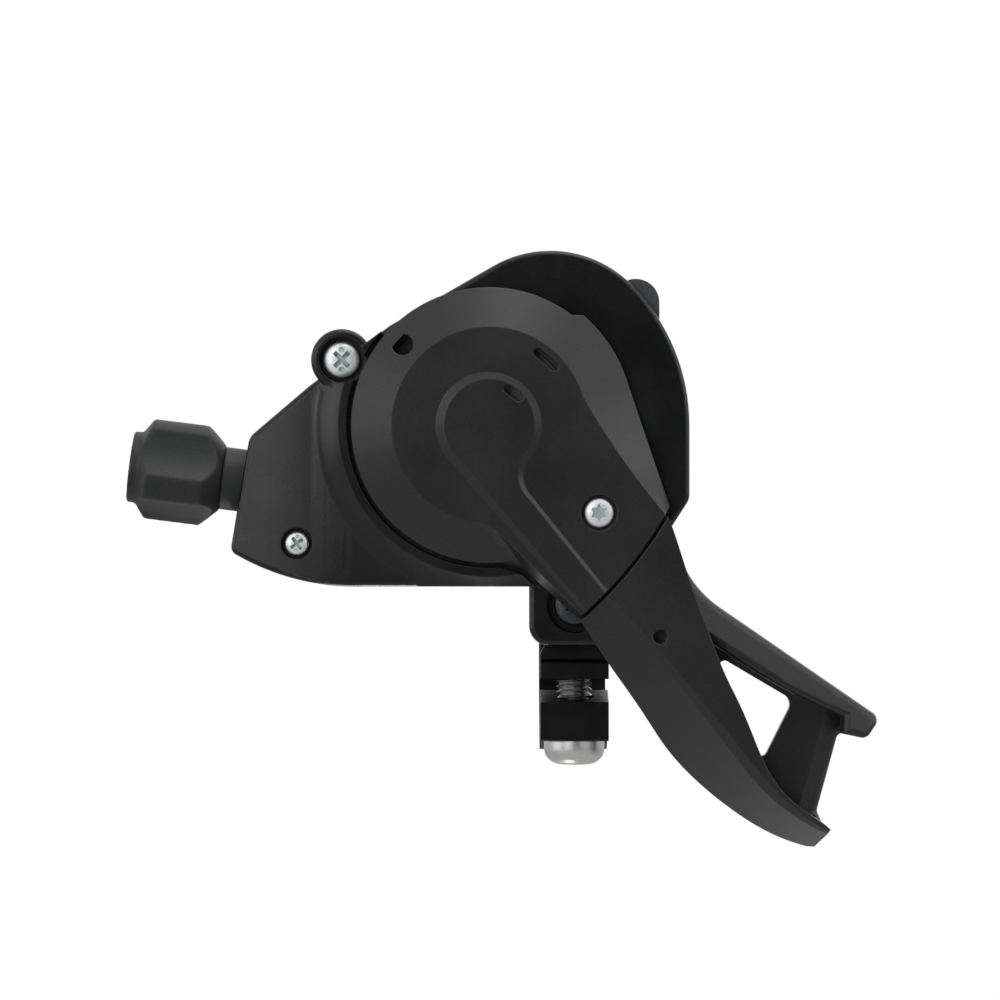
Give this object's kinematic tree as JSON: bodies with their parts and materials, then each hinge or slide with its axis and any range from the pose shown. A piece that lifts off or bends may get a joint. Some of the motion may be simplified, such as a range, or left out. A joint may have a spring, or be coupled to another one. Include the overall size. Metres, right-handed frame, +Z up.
{
  "type": "trigger shifter",
  "caption": "Bar-mounted bicycle trigger shifter: ratchet housing with a round thumb lever and open paddle, a release trigger, a fluted cable barrel adjuster and a bolted band clamp.",
  "frame": {"origin": "centre of the handlebar clamp's bore", "axes": "+X along the bar towards the paddle's tip, +Z up through the bracket to the housing, -Y towards the thumb that works the lever"},
  "size_m": [0.1052, 0.0439, 0.0836],
  "materials": {
    "housing_plastic": "fine moulded satin black",
    "lever_plastic": "fine moulded satin dark grey",
    "trigger_plastic": "fine moulded mid grey",
    "knob_plastic": "moulded satin black",
    "drum_plastic": "moulded bearing grade",
    "clamp_alloy": "black anodised, satin",
    "bolt_steel": "plated, bright",
    "zinc_steel": "bright zinc plated",
    "dark_steel": "dark passivated",
    "plate_steel": "stamped and tumbled",
    "spring_steel": "drawn wire",
    "bush_brass": "turned"
  },
  "bodies": {
    "housing": {"base_housing": "housing_plastic", "top_cover": "housing_plastic", "housing_screw_large": "zinc_steel", "housing_screw_small": "zinc_steel", "mechanism_plate": "plate_steel", "main_axle": "plate_steel", "axle_clip": "spring_steel", "hold_pawl_pin": "plate_steel", "trigger_pin": "plate_steel", "drum_spring": "spring_steel", "hold_pawl_spring": "spring_steel", "trigger_spring": "spring_steel", "adjuster_spring": "spring_steel", "clamp_band": "clamp_alloy", "clamp_bolt": "bolt_steel", "bracket_screw": "dark_steel"},
    "lever": {"lever_cap": "lever_plastic", "lever_paddle": "lever_plastic", "lever_screw": "zinc_steel", "lever_plate": "plate_steel", "lever_bushing": "bush_brass", "lever_return_spring": "spring_steel", "drive_pawl_pin": "plate_steel", "drive_pawl_spring": "spring_steel"},
    "drive_pawl": {"drive_pawl": "plate_steel"},
    "drum": {"cable_drum": "drum_plastic", "drum_bushing": "bush_brass"},
    "hold_pawl": {"hold_pawl": "plate_steel"},
    "trigger": {"release_trigger": "trigger_plastic"},
    "collar": {"detent_collar": "knob_plastic"},
    "barrel": {"barrel_adjuster": "knob_plastic"}
  },
  "joints": [
    {"name": "lever_swing", "type": "hinge", "parent": "housing", "child": "lever", "pos_m": [-0.012, -0.02, 0.0318], "axis": [0, -1, 0], "range_deg": [0, 75], "stiffness_Nm_per_rad": 0.04, "springref_deg": -45.84},
    {"name": "drive_pawl_tilt", "type": "hinge", "parent": "lever", "child": "drive_pawl", "pos_m": [-0.0228, -0.023, 0.0318], "axis": [0, 1, 0], "range_deg": [0, 10], "stiffness_Nm_per_rad": 0.005, "springref_deg": -28.65},
    {"name": "drum_turn", "type": "hinge", "parent": "housing", "child": "drum", "pos_m": [-0.012, -0.017, 0.0318], "axis": [0, -1, 0], "range_deg": [0, 165], "stiffness_Nm_per_rad": 0.01, "springref_deg": -34.38},
    {"name": "release_trigger_tilt", "type": "hinge", "parent": "housing", "child": "trigger", "pos_m": [0.0095, -0.02, 0.0378], "axis": [0, -1, 0], "range_deg": [0, 12], "stiffness_Nm_per_rad": 0.03, "springref_deg": -22.92},
    {"name": "hold_pawl_tilt", "type": "hinge", "parent": "housing", "child": "hold_pawl", "pos_m": [0.0075, -0.02, 0.0258], "axis": [0, 1, 0], "range_deg": [0, 12]},
    {"name": "collar_slide", "type": "slide", "parent": "housing", "child": "collar", "axis": [-0.992, 0, 0.1262], "range_m": [0, 0.0032]},
    {"name": "barrel_turn", "type": "hinge", "parent": "collar", "child": "barrel", "pos_m": [-0.05319, -0.017, 0.02494], "axis": [-0.992, 0, 0.1262], "range_deg": [0, 1440]}
  ],
  "couplings": [
    {"joint": "hold_pawl_tilt", "follows": "release_trigger_tilt", "ratio": 1},
    {"joint": "barrel_turn", "follows": "collar_slide", "rad_per_m": 7853.9}
  ]
}
